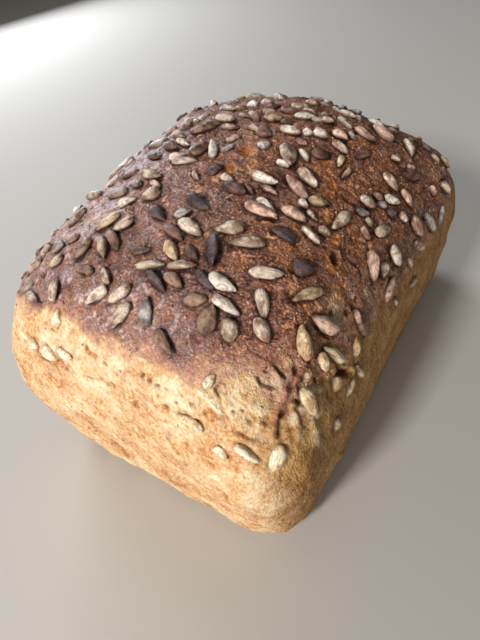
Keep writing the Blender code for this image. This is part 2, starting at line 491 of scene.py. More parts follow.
blister(326, 164, 17, 9, 0.5, 0.2, amber=0.8)
blister(332, 187, 13, 10, 0.5, 0.2, amber=0.7)
blister(369, 185, 18, 11, 0.6, 0.5, dark=0.25)
blister(219, 390, 11, 15, 0.7, 0.5, dark=0.2)
blister(282, 366, 17, 25, 0.55, 0.5, amber=0.25)
blister(334, 259, 13, 19, 0.8, 0.9, dark=0.6)
line([(331, 248), (326, 257), (330, 268), (338, 272)], 3.4, 0.4, amber=0.6)
line([(337, 249), (341, 258), (341, 266)], 3.0, 0.3, amber=0.5)
line([(220, 383), (215, 390), (220, 397)], 3, -0.5, dark=1.0)
line([(258, 377), (261, 384), (268, 387), (275, 388)], 3.4, -0.9, dark=1.0, lip=0.4)
line([(272, 355), (275, 366), (283, 376)], 3, -0.5, dark=0.5)
line([(86, 346), (88, 352), (95, 357)], 4, -0.6, amber=1.0, lip=0.25)
line([(193, 335), (193, 339), (198, 343)], 3.6, -0.7, dark=0.55, redness=0.6, lip=0.3)
line([(245, 352), (255, 356), (265, 362)], 4, 0.6, dark=0.3)
line([(200, 391), (211, 401), (222, 412)], 6, 0.7, pale=0.9)
line([(236, 433), (240, 434), (249, 438), (258, 441)], 3.4, -0.6, dark=0.8, lip=0.3)
line([(276, 366), (281, 380), (285, 396)], 10, 0.8, redness=0.35)
line([(285, 392), (281, 404), (276, 416)], 8, 0.9, redness=0.75)
line([(277, 412), (273, 424), (274, 436)], 7, 0.8, redness=0.6)
line([(273, 362), (278, 371), (286, 378)], 3.4, -0.9, dark=0.75)
line([(286, 404), (288, 414)], 4.0, -0.6, dark=0.35, redness=0.8)
line([(280, 416), (279, 426), (279, 436)], 4.6, -1.0, dark=0.6, redness=0.4)
line([(295, 408), (300, 418), (305, 428)], 4.4, -0.9, dark=0.55, redness=0.7)
line([(292, 404), (297, 420), (299, 438)], 8, 0.7, pale=0.2)
line([(309, 412), (314, 428), (316, 442)], 8, 0.7, pale=0.6)
line([(318, 384), (326, 402), (328, 420)], 7, 0.6, redness=0.2)
line([(338, 368), (342, 373), (347, 371)], 5, -1.2, dark=1.0, lip=0.4)
line([(296, 352), (306, 362), (312, 374)], 7, 0.6, redness=0.3)
ids, q = window(305, 400, 60)
crumpled = np.exp(-(((q[:, 0] - 305) / 36) ** 2 + ((q[:, 1] - 398) / 46) ** 2) ** 2)
relief[ids] += crumpled * (0.75 * (0.35 - np.abs(noise(P[ids], 6, 60)) * 1.5) + 0.30 * noise(P[ids], 2.6, 61))
red[ids] = np.maximum(red[ids], 0.45 * crumpled * smooth(0.25, 0.75, noise(P[ids], 5.5, 62)))
raw[ids] = np.maximum(raw[ids], 0.7 * crumpled * smooth(0.15, 0.6, noise(P[ids], 4.5, 63)) * (q[:, 1] > 385))
tint_patch(red, 280, 412, 18, 44, 0.55, 2.4)
line([(298, 412), (301, 419), (304, 426)], 8, 0.8, redness=0.25)
line([(264, 368), (266, 358), (272, 350)], 5, 0.6, redness=0.5)
line([(302, 372), (296, 384), (297, 395)], 5, 0.5, redness=0.5)
line([(345, 197), (350, 202), (356, 205)], 4, -0.8, dark=0.9, lip=0.35)
line([(338, 369), (345, 366), (352, 368)], 4, 0.5, pale=0.4)
tint_patch(raw, 168, 383, 22, 12, 1.0)
tint_patch(raw, 200, 404, 12, 8, 0.9)
tint_patch(raw, 60, 343, 44, 20, 0.8)
tint_patch(raw, 110, 366, 40, 14, 0.7)
tint_patch(raw, 262, 404, 26, 16, 0.35)
# painted light: a pale patch brightening the near corner's foot
tint_patch(raw, 268, 506, 56, 44, 0.42, 6.0)
tint_patch(red, 168, 437, 8, 9, 0.55)
tint_patch(red, 75, 348, 6, 6, 0.7)
tint_patch(red, 254, 471, 12, 8, 0.35)
tint_patch(red, 288, 400, 14, 22, 0.8)
tint_patch(red, 262, 362, 26, 24, 0.45)

# the stretched, orange-brown skin that was baked less, and a painted grey-purple sheen: a reflection painted over the
# left and near parts of the top
stretched = np.zeros(len(P))
for u, v, w, h, a in ((255, 160, 70, 34, 0.9), (330, 175, 60, 40, 0.8), (362, 190, 40, 30, 0.5), (320, 250, 50, 60, 0.35),
                      (300, 350, 70, 44, 0.9), (250, 345, 80, 36, 0.6), (210, 170, 50, 34, 0.6), (345, 285, 64, 96, 0.95),
                      (385, 235, 46, 70, 0.7), (400, 170, 60, 50, 0.5), (280, 210, 100, 70, 0.45), (310, 300, 70, 60, 0.45),
                      (290, 130, 110, 34, 0.6), (350, 330, 50, 50, 0.9), (318, 372, 70, 60, 1.0)):
    tint_patch(stretched, u, v, w, h, a, 5.0)
hidden = smooth(0.02, -0.05, np.einsum("ij,ij->i", NRM, CAM - P) / np.linalg.norm(CAM - P, axis=1))
stretched = np.maximum(stretched, hidden * smooth(0.1, 0.8, noise(P, 26, 27)) * 0.7)
stretched = np.maximum(stretched, 0.75 * smooth(0.0, 0.6, noise(P, 9, 45) + 0.5 * noise(P, 4, 46)) * smooth(-0.045, 0.01, x + 0.25 * y))
bloom = smooth(0.055, -0.055, x + 0.25 * y + 0.010) * (0.75 + 0.35 * noise(P, 13, 28))
bloom += 0.8 * np.exp(-(((UV[:, 0] - 150) / 75) ** 2 + ((UV[:, 1] - 318) / 34) ** 2)) * SEEN
rim_sheen = np.exp(-((z - edge - 0.0055) / 0.0065) ** 2) * (on_near + 0.6 * on_left) * smooth(0.05, -0.02, x - 0.035)
bloom = bloom * (1 - 0.6 * hidden) + 0.75 * rim_sheen
bloom = np.clip(bloom, 0, 1) * top

relief = np.clip(relief, -2.2, 1.7)
P2 = P + NRM * (relief * MM)[:, None]
P2[:, 2] = np.maximum(P2[:, 2], 0.0)

# ======================================================================================
# 5. Sunflower kernels: a line of sight to each one's blunt end and its tip, the width that
#    it shows in pixels, and its tone; s is a slit one, e one on its edge, x a broken one
# ======================================================================================
KERNELS = """
34 280 15 297 9 m, 40 258 26 274 8 p, 50 243 40 256 8 p, 61 255 49 266 9 m, 64 242 52 252 9 g,
90 238 74 260 10 b, 53 301 56 277 11 p, 91 270 76 268 10 bs, 106 288 86 303 13 p, 108 283 102 266 9 m,
102 236 104 258 9 m, 27 293 39 304 11 m, 108 231 117 249 12 b, 130 251 151 248 9 bs,
137 267 164 263 9 m, 167 241 176 260 14 y, 168 266 197 265 9 p, 166 274 182 287 14 b,
130 285 104 304 12 p, 148 273 164 291 7 k, 186 246 198 260 12 d, 214 235 212 266 11 k,
266 243 228 242 13 p, 209 275 236 291 15 w, 212 297 239 315 12 w, 249 272 285 274 15 p,
260 288 265 318 15 p, 197 272 213 289 8 k, 182 299 207 298 16 b, 293 266 314 270 17 k,
322 291 291 300 13 o, 371 251 374 281 8 r, 54 327 57 309 10 p, 31 339 36 354 10 w, 41 348 57 362 13 w,
57 350 71 359 9 w, 128 303 110 329 14 m, 144 325 147 296 14 g, 156 330 172 354 15 b,
203 333 214 304 21 b, 231 343 227 315 19 mx, 256 317 270 341 16 p, 309 361 301 325 18 w,
337 332 311 316 18 r, 323 352 325 372 15 w, 347 362 324 347 12 p, 357 358 357 337 9 w,
358 366 361 378 7 o, 357 310 361 325 6 r, 360 322 368 337 7 b, 85 208 67 226 8 m, 100 193 88 199 8 m,
119 212 93 230 10 o, 119 204 137 197 8 w, 126 189 106 194 11 bs, 134 219 112 229 11 w,
118 174 108 184 5 p, 78 234 66 241 8 b, 141 183 131 184 8 g, 137 168 120 176 8 d, 141 173 161 177 11 m,
150 180 160 186 8 r, 160 191 141 196 13 p, 151 207 164 218 13 k, 174 216 191 210 9 g,
180 222 202 234 15 p, 165 226 183 240 9 d, 189 196 209 207 9 k, 193 170 198 178 5 r,
244 226 216 230 14 p, 250 171 278 183 8 we, 245 191 221 184 9 d, 245 184 253 193 7 d,
224 177 232 180 6 p, 263 185 277 192 6 r, 308 197 286 176 12 r, 299 168 317 187 9 p,
245 202 277 218 15 r, 258 198 277 217 7 we, 282 208 306 221 11 r, 296 241 272 226 12 k,
303 226 320 243 8 w, 302 199 306 206 4 w, 308 210 318 218 7 w, 308 199 330 203 9 o,
350 212 331 229 14 p, 320 226 331 234 7 m, 351 168 342 178 6 r, 361 197 376 207 11 w,
358 209 370 214 8 g, 375 193 383 199 7 r, 385 172 398 191 10 p, 385 196 400 203 10 w,
401 190 414 207 8 r, 379 203 388 207 5 g, 389 210 398 218 9 k, 401 213 408 221 8 w,
374 233 390 226 13 m, 363 227 369 239 5 r, 370 219 374 225 5 m, 414 216 424 236 11 r,
426 214 436 231 11 g, 444 206 440 225 4 g, 441 180 451 195 6 p, 432 186 437 197 5 r,
405 172 420 179 8 d, 133 158 126 164 5 p, 168 138 148 147 6 m, 149 154 159 157 9 d,
165 145 178 148 10 d, 176 126 166 134 8 r, 172 134 185 136 7 p, 177 140 189 145 6 p,
182 128 194 119 9 m, 192 121 200 118 6 w, 199 119 208 113 7 w, 191 132 216 125 9 b,
205 124 220 122 6 b, 172 161 197 158 8 p, 168 159 186 153 4 p, 191 155 208 143 12 b,
213 156 213 141 11 w, 208 172 222 165 10 k, 217 117 236 120 9 p, 221 107 235 109 6 m,
235 107 247 106 6 p, 248 102 259 107 6 w, 223 125 240 127 5 p, 240 113 252 115 6 m,
250 112 260 119 7 b, 264 117 284 117 9 o, 263 110 276 109 6 r, 270 106 280 104 7 d, 274 97 288 99 5 p,
261 101 272 101 5 m, 281 109 300 110 7 b, 292 104 310 106 9 p, 295 115 316 117 8 w,
281 128 301 133 9 w, 282 120 292 122 6 d, 304 131 313 132 8 w, 258 130 271 134 11 b,
250 125 259 129 8 r, 227 139 240 134 8 r, 222 149 233 144 7 g, 258 144 271 142 9 g,
285 142 291 167 17 m, 279 162 286 163 6 w, 301 150 309 160 8 w, 298 139 307 143 6 r,
305 101 320 104 6 r, 303 108 316 112 5 p, 323 102 330 105 4 p, 334 107 341 109 4 w,
322 113 331 114 5 p, 323 119 335 121 8 r, 315 118 321 119 5 w, 341 109 356 117 6 p,
357 115 362 120 5 p, 340 117 347 122 6 p, 346 122 352 127 5 w, 315 130 328 137 10 w,
333 130 347 140 10 r, 333 141 349 153 9 w, 350 132 356 138 6 g, 355 129 376 141 8 r,
370 119 385 128 7 w, 396 143 371 123 13 r, 390 127 400 132 4 p, 344 155 339 166 5 y,
312 151 330 155 12 d, 369 150 358 157 10 d, 395 157 400 160 3 p, 405 140 413 156 6 p,
411 137 417 139 4 r, 425 145 432 149 4 w, 432 153 441 163 6 r, 409 165 416 168 6 r,
441 156 450 168 5 o, 389 245 402 266 13 w, 387 262 384 277 9 w, 387 301 396 276 8 w,
416 243 424 249 8 m, 409 258 413 268 5 m, 412 286 418 276 4 m, 396 298 398 306 4 m,
300 388 318 418 16 w, 338 378 336 391 10 y, 355 379 348 398 6 w, 340 419 335 431 9 g,
202 430 176 415 11 w, 235 446 259 463 10 y, 283 446 271 471 17 p, 218 452 223 457 8 m,
205 386 212 376 8 p,
"""
TONES = {
    "w": ((250, 242, 230), (170, 130, 104)), "p": ((238, 222, 204), (136, 96, 72)), "y": ((252, 238, 202), (196, 150, 102)),
    "m": ((220, 200, 178), (104, 72, 54)), "b": ((166, 134, 112), (74, 46, 36)), "d": ((132, 98, 84), (50, 31, 27)),
    "k": ((96, 76, 80), (32, 23, 26)), "r": ((236, 202, 182), (138, 88, 72)), "o": ((206, 184, 150), (110, 82, 56)),
    "g": ((206, 200, 196), (98, 82, 78)), "c": ((255, 250, 226), (232, 206, 156)),
}


def linear(rgb):
    c = np.asarray(rgb, float) / 255
    return np.where(c <= 0.04045, c / 12.92, ((c + 0.055) / 1.055) ** 2.4)


raised = BVHTree.FromPolygons((P2 + NRM * 0.0009).tolist(), TRIS.tolist())
surface = BVHTree.FromPolygons(P2.tolist(), TRIS.tolist())
middle_uv = np.array((240.0, 300.0))


def sight(u, v):
    """Where the line of sight through a pixel of the frame meets the kernels' height; it slides inwards at the outline."""
    q = np.array((u, v), float)
    for _ in range(14):
        place, _, _, _ = raised.ray_cast(Vector(CAM), Vector(ray(*q)))
        if place is not None:
            return np.array(place)
        q += (middle_uv - q) / np.linalg.norm(middle_uv - q) * 0.8
    raise ValueError("no surface at", (u, v))


def ground(point):
    place, _, index, _ = surface.find_nearest(Vector(point))
    normal = NRM[TRIS[index]].mean(0)
    return np.array(place), normal / np.linalg.norm(normal)


RT, RA = 17, 18
ring_t = 0.5 - 0.5 * np.cos(np.pi * (np.arange(RT) + 0.75) / (RT + 0.5))
ring_a = np.arange(RA) * 2 * np.pi / RA
kernel_tris = []
for j in range(RT - 1):
    for i in range(RA):
        a, b = 1 + j * RA + i, 1 + j * RA + (i + 1) % RA
        kernel_tris += [(a, b, b + RA), (a, b + RA, a + RA)]
last = 1 + RT * RA
for i in range(RA):
    kernel_tris += [(0, 1 + (i + 1) % RA, 1 + i), (last, last - RA + i, last - RA + (i + 1) % RA)]
kernel_tris = np.array(kernel_tris)

seed_points, seed_tris, seed_tints, seed_local, seed_marks = [], [], [], [], []
centres = []
chance = np.random.RandomState(23)


def kernel(centre, along, normal, length, width, thick, tone, style="", roll=0.0, nose=0.0, sink=0.33):
    """One hulled kernel, mm, blunt end first. Sink is the part of its thickness under the crust."""
    number = len(centres)
    t = np.concatenate([[0.0], np.repeat(ring_t, RA), [1.0]])
    a = np.concatenate([[0.0], np.tile(ring_a, RT), [0.0]])
    broad, point = 0.40 + 0.10 * chance.rand(), 0.66 + 0.20 * chance.rand()
    if "x" in style:
        point = 0.42
    f = np.power(np.maximum(t, 0), broad) * np.power(np.maximum(1 - t, 0), point)
    f /= (broad / (broad + point)) ** broad * (point / (broad + point)) ** point
    x1 = (t - 0.5) * length * (0.86 if "x" in style else 1.0)
    x2 = 0.5 * width * f * np.cos(a)
    lens = np.sin(a) * (1 - 0.08 * np.cos(a) ** 2)
    x3 = 0.5 * thick * f ** 0.86 * np.where(lens > 0, lens * 1.08, lens * 0.92)
    x3 += (0.30 * chance.rand()) * f * np.exp(-(x2 / (0.20 * width)) ** 2) * np.sign(np.sin(a) + 1e-9)
    ribs = 1.0 + 0.8 * chance.rand()
    x3 += 0.15 * f * np.cos(2 * np.pi * ribs * x2 / width + chance.rand() * 6) * np.abs(np.sin(a))
    x2 += (chance.rand() - 0.5) * 0.9 * (np.sin(np.pi * t) - 0.6) + 0.0
    x3 += (chance.rand() - 0.35) * 0.7 * (np.sin(np.pi * t) - 0.6)
    if "s" in style:
        x3 -= 0.55 * np.exp(-(x2 / (0.13 * width)) ** 2) * smooth(0.12, 0.35, t) * smooth(0.98, 0.75, t) * (a < np.pi)
    local = np.stack([x1, x2, x3], 1)
    offset = np.array((number * 13.7, number * 7.9, number * 3.1))
    wobble = 0.36 * noise((local + offset) * MM, 3.1, 31) + 0.20 * noise((local + offset) * MM, 1.4, 32)
    out = local / np.maximum(np.linalg.norm(local * (0.6, 1, 1), axis=1), 0.2)[:, None]
    local = local + out * (wobble * smooth(0, 0.05, t) * smooth(1, 0.95, t))[:, None]
    c, s = math.cos(roll), math.sin(roll)
    turned = local.copy()
    turned[:, 1], turned[:, 2] = local[:, 1] * c - local[:, 2] * s, local[:, 1] * s + local[:, 2] * c
    c, s = math.cos(nose), math.sin(nose)
    turned[:, 0], turned[:, 2] = turned[:, 0] * c - turned[:, 2] * s, turned[:, 0] * s + turned[:, 2] * c
    tall = np.percentile(turned[:, 2], 88) - np.percentile(turned[:, 2], 12)
    along = along - normal * (along @ normal)
    along /= np.linalg.norm(along)
    across = np.cross(normal, along)
    lift = (0.5 - sink) * tall
    place = centre + normal * lift * MM
    world = place + (turned[:, :1] * along + turned[:, 1:2] * across + turned[:, 2:] * normal) * MM
    seed_points.append(world)
    seed_tris.append(kernel_tris + number * len(t))
    seed_local.append(local + offset)
    # tint: paler along its edge, browner at the tip; underneath, crust colour with painted shade
    light, dark = (linear(k) for k in TONES[tone])
    rim = np.abs(np.cos(a)) ** 5 * (0.25 + 0.75 * chance.rand())
    patch = smooth(-0.25, 0.40, noise((local + offset) * MM, 3.4, 33) + 0.5 * noise((local + offset) * MM, 1.4, 34)
                   + (0.7 * (chance.rand() - 0.55)))
    tipped = smooth(0.70, 1.0, t) * chance.rand() + smooth(0.34, 0.0, t) * chance.rand() * (chance.rand() < 0.5)
    mix = np.clip(0.02 + 0.80 * patch + 0.7 * tipped - 0.40 * rim, 0, 1)
    tint = (light * (1 - mix)[:, None] + dark * mix[:, None]) * (0.90 + 0.2 * chance.rand())
    # it takes the crust's colour where it goes into the crust, and that dark brown runs up its lower flanks as painted
    # shade
    rooted_and_shaded = smooth(1.40, 0.10, lift + turned[:, 2] + 0.35 * noise((local + offset) * MM, 1.9, 35))[:, None]
    root_and_shade_colour = linear((208, 160, 104) if tone == "c" else (84, 54, 42))
    tint = tint * (1 - 0.82 * rooted_and_shaded) + root_and_shade_colour * 0.82 * rooted_and_shaded
    seed_tints.append(tint)
    slit = np.exp(-(x2 / (0.10 * width)) ** 2) * smooth(0.1, 0.3, t) * smooth(0.95, 0.8, t) * (a < np.pi) if "s" in style else t * 0
    if "x" in style:
        slit = np.maximum(slit, smooth(0.93, 0.99, t))
    seed_marks.append(slit)
    centres.append((place, normal, along, across, length, width, sink))


def clear(point, gap):
    return all(np.linalg.norm(point - k[0]) > gap * MM for k in centres)


rows = [r.split() for r in KERNELS.replace("\n", " ").split(",") if r.strip()]
for row in rows:
    u0, v0, u1, v1, w_px = (float(k) for k in row[:5])
    tone, style = row[5][0], row[5][1:]
    a, b = sight(u0, v0), sight(u1, v1)
    length = np.linalg.norm(b - a) / MM
    centre, normal = ground((a + b) / 2)
    along = b - a
    along = along - normal * (along @ normal)
    along /= np.linalg.norm(along)
    across = np.cross(normal, along)
    ends, _ = project(np.array([centre, centre + across * MM, centre + normal * MM]))
    axis = np.array((u1 - u0, v1 - v0)) / math.hypot(u1 - u0, v1 - v0)
    perp = np.array((-axis[1], axis[0]))
    flat, tall = abs((ends[1] - ends[0]) @ perp), abs((ends[2] - ends[0]) @ perp)
    width = 0.95 * w_px / math.hypot(flat, 0.6 * tall)
    roll = (chance.rand() - 0.5) * 0.5
    nose = (chance.rand() - 0.5) * 0.22
    sink = 0.16 + 0.18 * chance.rand()
    if length < 6.0:
        sink += 0.10
        length *= 1.12
    length = float(np.clip(length * 1.03, 5.2, 12.2))
    if width < 0.40 * length and width < 3.6:
        roll = (0.75 + 0.5 * chance.rand()) * (1 if chance.rand() > 0.5 else -1)
        width = max(width, 0.46 * length)
        sink += 0.08
    width = float(np.clip(width, 3.1, 6.6))
    if "e" in style:
        roll, width = 1.15, 4.4
    thick = min(width * (0.60 + 0.12 * chance.rand()), 3.3)
    if (v0 > 400 and u0 < 290) or (u0 < 60 and v0 > 325):
        sink, tone = 0.34, "c"
    elif v0 > 360 and u0 < 260:
        sink, tone = (0.34 if u0 > 190 else 0.48), "c"
    elif v0 > 400 and u0 > 300:
        sink, tone = 0.40, "o"
    elif v0 > 335 and u0 > 290 and tone in "wp":
        tone = "y"
    elif normal @ (CAM - centre) / np.linalg.norm(CAM - centre) < 0.34:
        sink += 0.16
    kernel(centre, along, normal, length, width, thick, tone, style, roll, nose, sink)

hand_placed = len(centres)
# the rest of the crust, where the photograph doesn't show it
spread = np.random.RandomState(41)
cell = np.zeros(len(P))
a, b, c = P2[TRIS[:, 0]], P2[TRIS[:, 1]], P2[TRIS[:, 2]]
face = np.linalg.norm(np.cross(b - a, c - a), axis=1) / 6
for k in range(3):
    cell += np.bincount(TRIS[:, k], face, len(P))
facing = np.einsum("ij,ij->i", NRM, CAM - P) / np.linalg.norm(CAM - P, axis=1)
unseen = facing < 0.02
crowd = np.where(z > edge + 0.004, 1.0, np.where(z > edge - 0.006, 0.5, np.where(z > 0.014, 0.075, 0.0)))
weight = cell * crowd * unseen * np.where((z < edge - 0.004) & (facing > -0.30), 0.0, 1.0)
weight /= weight.sum()
tones = list("wwppppmmmmmbbbddkrrryogg")
wanted = 96
for c in spread.choice(len(P), 4000, p=weight):
    if len(centres) - hand_placed >= wanted:
        break
    low_down = z[c] < edge[c] - 0.004
    if not clear(P2[c], 6.2 if not low_down else 9.0):
        continue
    centre, normal = ground(P2[c])
    turn = spread.rand() * 2 * math.pi
    helper = np.cross(normal, (0.3, 0.9, 0.2))
    helper /= np.linalg.norm(helper)
    along = helper * math.cos(turn) + np.cross(normal, helper) * math.sin(turn)
    length = float(np.clip(8.4 + 1.2 * spread.randn(), 6.2, 11.5))
    width = length * (0.46 + 0.12 * spread.rand())
    tone = "c" if low_down else tones[spread.randint(len(tones))]
    style = "s" if spread.rand() < 0.08 else ("x" if spread.rand() < 0.06 else "")
    roll = (spread.rand() - 0.5) * 0.6 if spread.rand() < 0.8 else 1.1
    kernel(centre, along, normal, length, width, width * (0.56 + 0.12 * spread.rand()), tone, style, roll,
           (spread.rand() - 0.5) * 0.25, 0.5 if low_down else 0.22 + 0.20 * spread.rand())

# the dough round each kernel: pressed down beside it, drawn up a little where it sits deep, and darker round it as
# painted shade
pressed = np.zeros(len(P))
contact = np.zeros(len(P))
for place, normal, along, across, length, width, sink in centres:
    ids = np.flatnonzero((np.abs(P2 - place) < 0.011).all(1))
    q = P2[ids] - place
    d = np.hypot((q @ along) / (0.5 * length * MM), (q @ across) / (0.5 * width * MM))
    near = (np.abs(q @ normal) < 0.004) * (0.35 + 0.65 * top[ids])
    bed = np.exp(-((d - 1.0) / 0.34) ** 2) * near
    lip = np.exp(-((d - 1.45) / 0.30) ** 2) * near
    pressed[ids] += (-0.30 + 0.55 * max(0.0, sink - 0.25)) * bed + (0.10 + 0.35 * max(0.0, sink - 0.3)) * lip
    contact[ids] = np.maximum(contact[ids], np.exp(-np.maximum(0, d - 0.95) / 0.22) * near)
P2 = P2 + NRM * (np.clip(pressed, -0.7, 0.5) * MM)[:, None]
P2[:, 2] = np.maximum(P2[:, 2], 0.0)

# ======================================================================================
# 6. Meshes
# ======================================================================================


def new_mesh(name, points, faces, soft_shade=True):
    data = bpy.data.meshes.new(name)
    faces = np.asarray(faces)
    data.vertices.add(len(points))
    data.vertices.foreach_set("co", np.asarray(points, np.float32).ravel())
    data.loops.add(faces.size)
    data.loops.foreach_set("vertex_index", faces.astype(np.int32).ravel())
    data.polygons.add(len(faces))
    data.polygons.foreach_set("loop_start", np.arange(0, faces.size, faces.shape[1], dtype=np.int32))
    data.polygons.foreach_set("loop_total", np.full(len(faces), faces.shape[1], np.int32))
    data.update(calc_edges=True)
    if soft_shade:
        data.shade_smooth()
    thing = bpy.data.objects.new(name, data)
    bpy.context.scene.collection.objects.link(thing)
    return thing


def attribute(thing, name, values):
    values = np.asarray(values, np.float32)
    if values.ndim == 1:
        thing.data.attributes.new(name, "FLOAT", "POINT").data.foreach_set("value", values)
    elif values.shape[1] == 4:
        thing.data.attributes.new(name, "FLOAT_COLOR", "POINT").data.foreach_set("color", values.ravel())
    else:
        thing.data.attributes.new(name, "FLOAT_VECTOR", "POINT").data.foreach_set("vector", values.ravel())


FULL = normals_of(P2)


def shell(name, tris, cap_drop, cap_up):
    """Part of the loaf's surface as a closed piece: the seam is closed by a hidden disc inside the loaf."""
    points, faces, outer, n = [P2], [tris], SEAM, N
    total = len(P2)
    seam_mid = P2[SEAM].mean(0)
    for shrink, halve in ((0.965, 0), (0.90, 1), (0.80, 1), (0.45, 0)):
        n = n // 2 if halve else n
        ids = SEAM[::len(SEAM) // (4 * n)]
        ring = seam_mid + (P2[ids] - seam_mid) * (shrink, shrink, 1)
        ring[:, 2] = ring[:, 2] * 0.9 + seam_mid[2] * 0.1 - cap_drop
        inner = total + np.arange(4 * n)
        points.append(ring)
        total += 4 * n
        for t in stitch(outer, inner):
            faces.append(t[:, ::-1] if cap_up else t)
        outer = inner
    points.append(np.array([seam_mid - (0, 0, cap_drop)]))
    fan = np.stack([outer, np.full(len(outer), total), np.roll(outer, -1)], 1)
    faces.append(fan[:, ::-1] if cap_up else fan)
    points, faces = np.concatenate(points), np.concatenate(faces)
    used = np.unique(faces)
    back = np.full(len(points), -1)
    back[used] = np.arange(len(used))
    thing = new_mesh(name, points[used], back[faces])
    normals = np.zeros((len(points), 3))
    normals[:len(P2)] = FULL
    normals[len(P2):] = (0, 0, 1 if cap_up else -1)
    thing.data.normals_split_custom_set_from_vertices(normals[used].tolist())
    extra = len(points) - len(P2)
    for label, values in MASKS.items():
        attribute(thing, label, np.concatenate([values, np.zeros(extra)])[used])
    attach(thing, "root")
    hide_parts("loaf")
    return thing


MASKS = {
    "toast": toast, "deep": np.clip(deep, 0, 1), "raw": np.clip(raw, 0, 1), "glaze": np.clip(glaze, 0, 1),
    "red": np.clip(red, 0, 1), "stretched": stretched, "bloom": bloom, "contact": np.clip(contact, 0, 1),
    # painted shade: darker where the surface is pressed in
    "hollow": np.clip(-(relief + pressed) * 0.9, 0, 1) * smooth(0.001, 0.006, z),
    "shaded": np.clip(on_right + on_far * 0.3, 0, 1),
    "streaks": 0.5 + 0.5 * np.clip(streak, -1, 1),
}
# the surface faces out where a wall ring's winding makes it so
loaf_top = shell("loaf_top", TOP_TRIS, 0.004, False)
loaf_sides = shell("loaf_sides", SIDE_TRIS, 0.009, True)

seeds = new_mesh("seeds", np.concatenate(seed_points), np.concatenate(seed_tris))
tints = np.concatenate(seed_tints)
attribute(seeds, "tint", np.concatenate([tints, np.ones((len(tints), 1))], 1))
attribute(seeds, "local", np.concatenate(seed_local))
attribute(seeds, "slit", np.concatenate(seed_marks))
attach(seeds, "root")

# flakes of bran and flour grit, stuck to the crust
grit_rng = np.random.RandomState(77)
flake_weight = cell * (0.05 + 0.95 * top) * (z > 0.006) * smooth(-0.4, 0.7, noise(P, 9, 50))
flake_weight /= flake_weight.sum()
spots = grit_rng.choice(len(P), 8000, p=flake_weight)
spots = spots[contact[spots] < 0.7]
flakes_p, flakes_f, flakes_c = [], [], []
angles = np.arange(5) * 2 * np.pi / 5
bran = [linear(c) for c in ((196, 160, 132), (170, 120, 88), (222, 194, 168), (136, 86, 56), (100, 62, 42))]
for k, c in enumerate(spots):
    nrm = FULL[c]
    tangent = np.cross(nrm, grit_rng.normal(size=3))
    tangent /= np.linalg.norm(tangent)
    other = np.cross(nrm, tangent)
    size = (0.14 + 0.44 * grit_rng.rand() ** 2.6) * MM
    radii = size * (0.6 + 0.5 * grit_rng.rand(5))
    stretch = 1 + 0.9 * grit_rng.rand()
    mid = P2[c] + nrm * 0.00002
    tilt = grit_rng.normal(size=2) * 0.25
    ring = mid + (np.cos(angles) * radii * stretch)[:, None] * tangent + (np.sin(angles) * radii)[:, None] * other
    ring = ring + nrm * (np.cos(angles) * tilt[0] + np.sin(angles) * tilt[1])[:, None] * size * 0.6
    flakes_p.append(np.concatenate([ring, [mid + nrm * size * 0.45], [mid - nrm * size * 0.9]]))
    i0 = k * 7
    for i in range(5):
        flakes_f += [(i0 + i, i0 + (i + 1) % 5, i0 + 5), (i0 + (i + 1) % 5, i0 + i, i0 + 6)]
    pale = grit_rng.choice(5, p=(0.34, 0.26, 0.2, 0.12, 0.08) if top[c] > 0.5 else (0.3, 0.3, 0.2, 0.15, 0.05))
    flakes_c.append(np.tile(bran[pale] * (0.8 + 0.4 * grit_rng.rand()), (7, 1)))
flakes = new_mesh("bran_flakes", np.concatenate(flakes_p), np.array(flakes_f))
tints = np.clip(np.concatenate(flakes_c), 0, 1)
attribute(flakes, "tint", np.concatenate([tints, np.ones((len(tints), 1))], 1))
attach(flakes, "root")

# ======================================================================================
# 7. Finishes
# ======================================================================================


